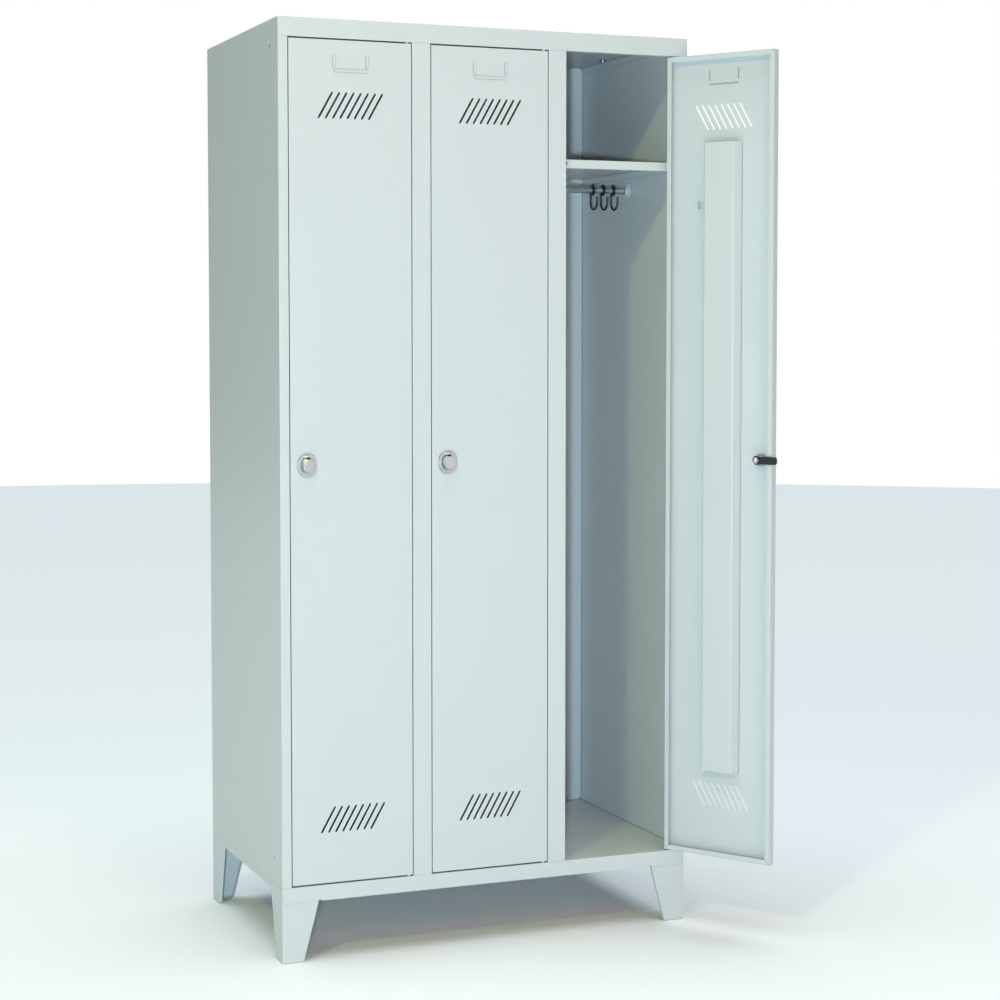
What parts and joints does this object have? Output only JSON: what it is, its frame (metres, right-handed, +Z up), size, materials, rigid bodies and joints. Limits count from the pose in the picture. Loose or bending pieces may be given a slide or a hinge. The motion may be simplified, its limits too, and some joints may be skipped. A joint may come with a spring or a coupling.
{
  "type": "locker cabinet",
  "caption": "Steel locker cabinet with hinged, vented doors, turn latches, hat shelves and coat rails, on tapered legs.",
  "frame": {"origin": "outer corner of the front left foot's sole: the front left corner of the cabinet at floor level", "axes": "+X to the right along the front, +Y to the back, +Z up"},
  "size_m": [1.0097, 0.7768, 1.89],
  "materials": {
    "powder_coat": "light grey semi-gloss powder coat, fine texture",
    "zinc_plate": "bright zinc-nickel plating",
    "dark_steel": "dark phosphated steel",
    "nylon": "moulded white nylon",
    "door_buffer_rubber": "matt"
  },
  "bodies": {
    "carcass": {"left_side_panel": "powder_coat", "right_side_panel": "powder_coat", "partition_1": "powder_coat", "partition_2": "powder_coat", "mid_stile_1": "powder_coat", "mid_stile_2": "powder_coat", "back_panel": "powder_coat", "top_panel": "powder_coat", "bottom_panel": "powder_coat", "leg_front_left": "powder_coat", "leg_front_right": "powder_coat", "leg_back_left": "powder_coat", "leg_back_right": "powder_coat", "leg_bolts": "zinc_plate", "top_bolts": "zinc_plate", "hinge_pins": "zinc_plate", "door_buffers": "door_buffer_rubber", "rod_sockets": "nylon", "hat_shelf_1": "powder_coat", "hat_shelf_2": "powder_coat", "hat_shelf_3": "powder_coat", "coat_rod_1": "zinc_plate", "coat_rod_2": "zinc_plate", "coat_rod_3": "zinc_plate"},
    "door_1": {"door_panel_1": "powder_coat", "door_stiffener_1": "powder_coat", "garment_hook_1": "powder_coat", "door_bushes_1": "nylon", "lock_body_1": "zinc_plate", "lock_nut_1": "zinc_plate"},
    "latch_1": {"turn_knob_1": "zinc_plate", "latch_cam_1": "dark_steel", "cap_nut_1": "zinc_plate"},
    "hook_1a": {"coat_hook_1a": "dark_steel"},
    "hook_1b": {"coat_hook_1b": "dark_steel"},
    "hook_1c": {"coat_hook_1c": "dark_steel"},
    "door_2": {"door_panel_2": "powder_coat", "door_stiffener_2": "powder_coat", "garment_hook_2": "powder_coat", "door_bushes_2": "nylon", "lock_body_2": "zinc_plate", "lock_nut_2": "zinc_plate"},
    "latch_2": {"turn_knob_2": "zinc_plate", "latch_cam_2": "dark_steel", "cap_nut_2": "zinc_plate"},
    "hook_2a": {"coat_hook_2a": "dark_steel"},
    "hook_2b": {"coat_hook_2b": "dark_steel"},
    "hook_2c": {"coat_hook_2c": "dark_steel"},
    "door_3": {"door_panel_3": "powder_coat", "door_stiffener_3": "powder_coat", "garment_hook_3": "powder_coat", "door_bushes_3": "nylon", "lock_body_3": "zinc_plate", "lock_nut_3": "zinc_plate"},
    "latch_3": {"turn_knob_3": "zinc_plate", "latch_cam_3": "dark_steel", "cap_nut_3": "zinc_plate"},
    "hook_3a": {"coat_hook_3a": "dark_steel"},
    "hook_3b": {"coat_hook_3b": "dark_steel"},
    "hook_3c": {"coat_hook_3c": "dark_steel"}
  },
  "joints": [
    {"name": "door_1_hinge", "type": "hinge", "parent": "carcass", "child": "door_1", "pos_m": [0.2705, 0.0045, 0.154], "axis": [0, 0, 1], "range_deg": [0, 125]},
    {"name": "latch_1_turn", "type": "hinge", "parent": "door_1", "child": "latch_1", "pos_m": [0.056, 0, 1.004], "axis": [0, 1, 0], "range_deg": [0, 90]},
    {"name": "hook_1a_slide", "type": "slide", "parent": "carcass", "child": "hook_1a", "axis": [1, 0, 0], "range_m": [-0.2015, 0.0195]},
    {"name": "hook_1b_slide", "type": "slide", "parent": "carcass", "child": "hook_1b", "axis": [1, 0, 0], "range_m": [-0.0195, 0.0195]},
    {"name": "hook_1c_slide", "type": "slide", "parent": "carcass", "child": "hook_1c", "axis": [1, 0, 0], "range_m": [-0.0195, 0.025]},
    {"name": "door_2_hinge", "type": "hinge", "parent": "carcass", "child": "door_2", "pos_m": [0.5705, 0.0045, 0.154], "axis": [0, 0, 1], "range_deg": [0, 125]},
    {"name": "latch_2_turn", "type": "hinge", "parent": "door_2", "child": "latch_2", "pos_m": [0.356, 0, 1.004], "axis": [0, 1, 0], "range_deg": [0, 90]},
    {"name": "hook_2a_slide", "type": "slide", "parent": "carcass", "child": "hook_2a", "axis": [1, 0, 0], "range_m": [-0.202, 0.0195]},
    {"name": "hook_2b_slide", "type": "slide", "parent": "carcass", "child": "hook_2b", "axis": [1, 0, 0], "range_m": [-0.0195, 0.0195]},
    {"name": "hook_2c_slide", "type": "slide", "parent": "carcass", "child": "hook_2c", "axis": [1, 0, 0], "range_m": [-0.0195, 0.025]},
    {"name": "door_3_hinge", "type": "hinge", "parent": "carcass", "child": "door_3", "pos_m": [0.8705, 0.0045, 0.154], "axis": [0, 0, 1], "range_deg": [-122, 3]},
    {"name": "latch_3_turn", "type": "hinge", "parent": "door_3", "child": "latch_3", "pos_m": [0.98798, -0.17502, 1.004], "axis": [-0.848, -0.5299, 0], "range_deg": [-90, 0]},
    {"name": "hook_3a_slide", "type": "slide", "parent": "carcass", "child": "hook_3a", "axis": [1, 0, 0], "range_m": [-0.2015, 0.0195]},
    {"name": "hook_3b_slide", "type": "slide", "parent": "carcass", "child": "hook_3b", "axis": [1, 0, 0], "range_m": [-0.0195, 0.0195]},
    {"name": "hook_3c_slide", "type": "slide", "parent": "carcass", "child": "hook_3c", "axis": [1, 0, 0], "range_m": [-0.0195, 0.025]}
  ]
}
